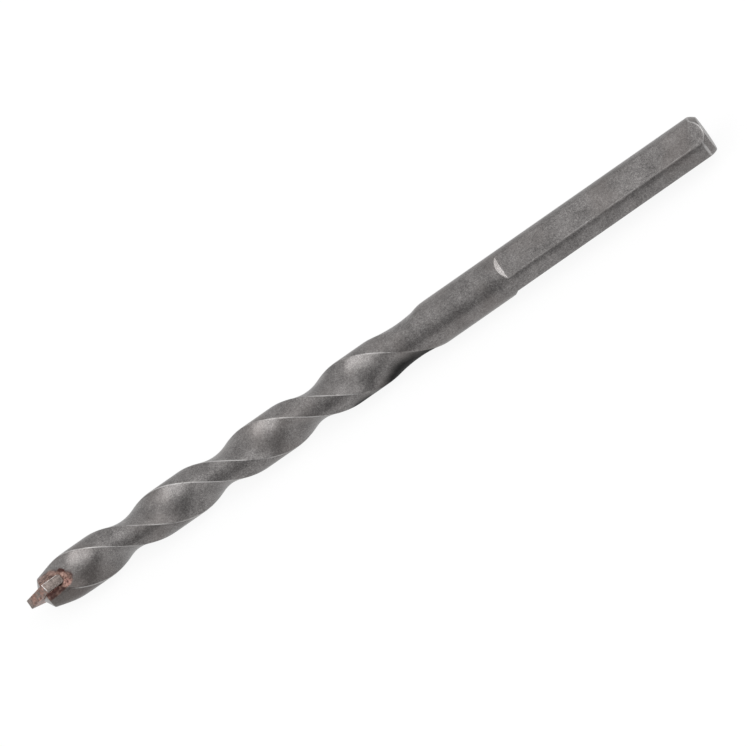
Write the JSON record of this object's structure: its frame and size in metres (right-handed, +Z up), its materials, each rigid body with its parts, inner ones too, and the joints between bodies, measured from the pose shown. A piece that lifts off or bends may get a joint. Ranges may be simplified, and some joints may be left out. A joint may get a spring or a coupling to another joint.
{
  "type": "glass and tile drill bit",
  "caption": "Twist drill bit for glass and tile: slow-helix grey steel shaft, round neck and flat-sided chuck shank, with a carbide spear plate brazed across the nose.",
  "frame": {"origin": "on the surface it lies on, below the middle of its length", "axes": "+X along the bit's axis from the point to the shank end, +Z up as it lies"},
  "size_m": [0.1, 0.0058, 0.0058],
  "materials": {
    "steel": "shot-blasted, grainy satin, edges rubbed bright",
    "carbide": "ground sintered carbide, satin",
    "braze": "copper-coloured braze, uneven, heat-stained"
  },
  "bodies": {
    "root": {"drill_body": "steel", "carbide_tip": "carbide", "braze": "braze"}
  },
  "joints": []
}
